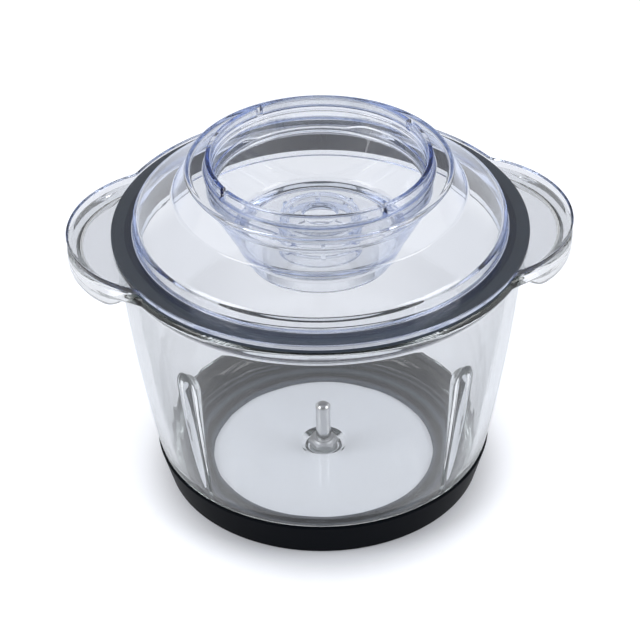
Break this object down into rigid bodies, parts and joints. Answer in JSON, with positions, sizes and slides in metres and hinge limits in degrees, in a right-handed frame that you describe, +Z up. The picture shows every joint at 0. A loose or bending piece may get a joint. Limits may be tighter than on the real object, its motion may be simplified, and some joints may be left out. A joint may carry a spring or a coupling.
{
  "type": "chopper bowl with lid",
  "caption": "Glass mini-chopper bowl with side ears, rubber base ring, steel blade spindle and a clear domed lid whose collar takes the motor head.",
  "frame": {"origin": "centre of the base ring's footprint on the table", "axes": "+Z up along the spindle, X through the two ears, -Y towards the picture's viewer"},
  "size_m": [0.197, 0.164, 0.1442],
  "materials": {
    "glass": "clear pressed glass",
    "lid_plastic": "clear moulded plastic with a faint blue tint",
    "seal_silicone": "matt dark grey silicone",
    "base_rubber": "matt black rubber",
    "spindle_steel": "turned stainless steel",
    "washer_silicone": "pale silicone"
  },
  "bodies": {
    "bowl": {"glass_bowl": "glass", "base_ring": "base_rubber", "spindle": "spindle_steel", "spindle_upper_seal": "washer_silicone", "spindle_lower_seal": "washer_silicone", "spindle_washer": "spindle_steel", "spindle_nut": "spindle_steel"},
    "lid": {"lid": "lid_plastic", "lid_gasket": "seal_silicone"}
  },
  "joints": [
    {"name": "lid_lift", "type": "slide", "parent": "bowl", "child": "lid", "axis": [0, 0, 1], "range_m": [0, 0.07]}
  ]
}
